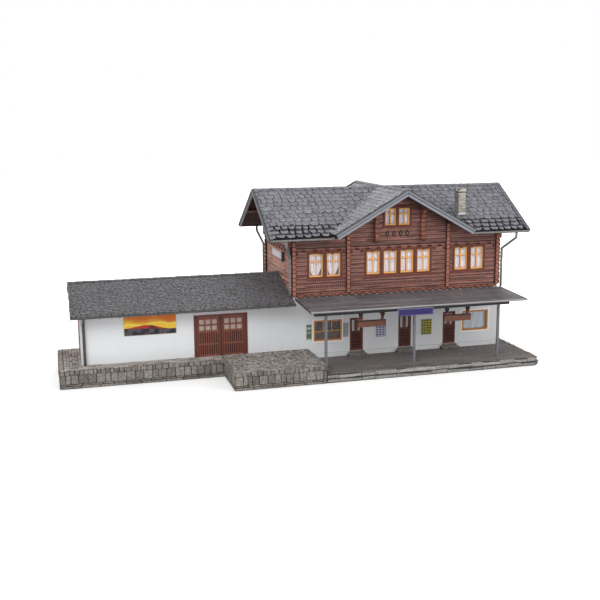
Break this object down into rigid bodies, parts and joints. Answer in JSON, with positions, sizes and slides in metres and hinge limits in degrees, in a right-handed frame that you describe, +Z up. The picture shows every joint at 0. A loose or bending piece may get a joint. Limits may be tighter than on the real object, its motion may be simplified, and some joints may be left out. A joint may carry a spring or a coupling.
{
  "type": "railway station building, 1:87 scale model",
  "caption": "Chalet-style railway station with log upper storey, slate gable roofs, platform canopy and a goods shed with loading platform, as a plastic scale model.",
  "frame": {"origin": "middle of the footprint of the whole model, at ground level", "axes": "+X along the platform from the goods shed to the station, +Y from the platform side to the back, +Z up"},
  "size_m": [0.3666, 0.1564, 0.1351],
  "materials": {
    "base_asphalt": "matt",
    "kerb_stone": "matt",
    "platform_stone": "matt",
    "step_stone": "matt",
    "floor_plastic": "matt",
    "plaster": "matt",
    "logs": "satin",
    "log_ends": "satin",
    "casing_brown": "satin",
    "window_ochre": "satin",
    "window_orange": "satin",
    "door_brown": "satin",
    "canopy_slate": "matt",
    "post_grey": "satin",
    "name_board": "satin",
    "notice_paper": "matt",
    "billboard_print": "satin",
    "roof_slate": "matt",
    "shed_slate": "matt",
    "barge_grey": "satin",
    "chimney_brick": "matt",
    "gutter_grey": "satin",
    "glazing": "clear"
  },
  "bodies": {
    "root": {"attic_floor": "floor_plastic", "billboard": "billboard_print", "canopy_beam": "post_grey", "canopy_posts": "post_grey", "canopy_rafters": "logs", "canopy_roof": "canopy_slate", "chimney": "chimney_brick", "cross_barge_boards": "barge_grey", "cross_roof_left": "roof_slate", "cross_roof_right": "roof_slate", "door_glass": "glazing", "door_steps": "step_stone", "downpipes": "gutter_grey", "eave_corbels": "log_ends", "gable_brackets": "log_ends", "goods_door_frames": "door_brown", "goods_doors": "door_brown", "ground_window_frames": "window_orange", "gutters": "gutter_grey", "hanging_boards": "log_ends", "joist_ends": "log_ends", "kerb_stones": "kerb_stone", "ledge_boards": "logs", "loading_platform": "platform_stone", "loading_ramp": "platform_stone", "log_back_wall": "logs", "log_ends": "log_ends", "log_front_wall": "logs", "log_left_wall": "logs", "log_right_wall": "logs", "main_barge_boards": "barge_grey", "main_roof_back": "roof_slate", "main_roof_front": "roof_slate", "name_boards": "name_board", "notice_boards": "notice_paper", "roof_purlins": "logs", "shed_back_wall": "plaster", "shed_floor": "floor_plastic", "shed_front_wall": "plaster", "shed_left_wall": "plaster", "shed_roof_back": "shed_slate", "shed_roof_front": "shed_slate", "shed_side_door": "door_brown", "station_back_wall": "plaster", "station_base": "base_asphalt", "station_doors": "door_brown", "station_front_wall": "plaster", "station_left_wall": "plaster", "station_right_wall": "plaster", "upper_floor": "floor_plastic", "upper_window_frames": "window_ochre", "window_casings": "casing_brown", "window_glass": "glazing"}
  },
  "joints": []
}
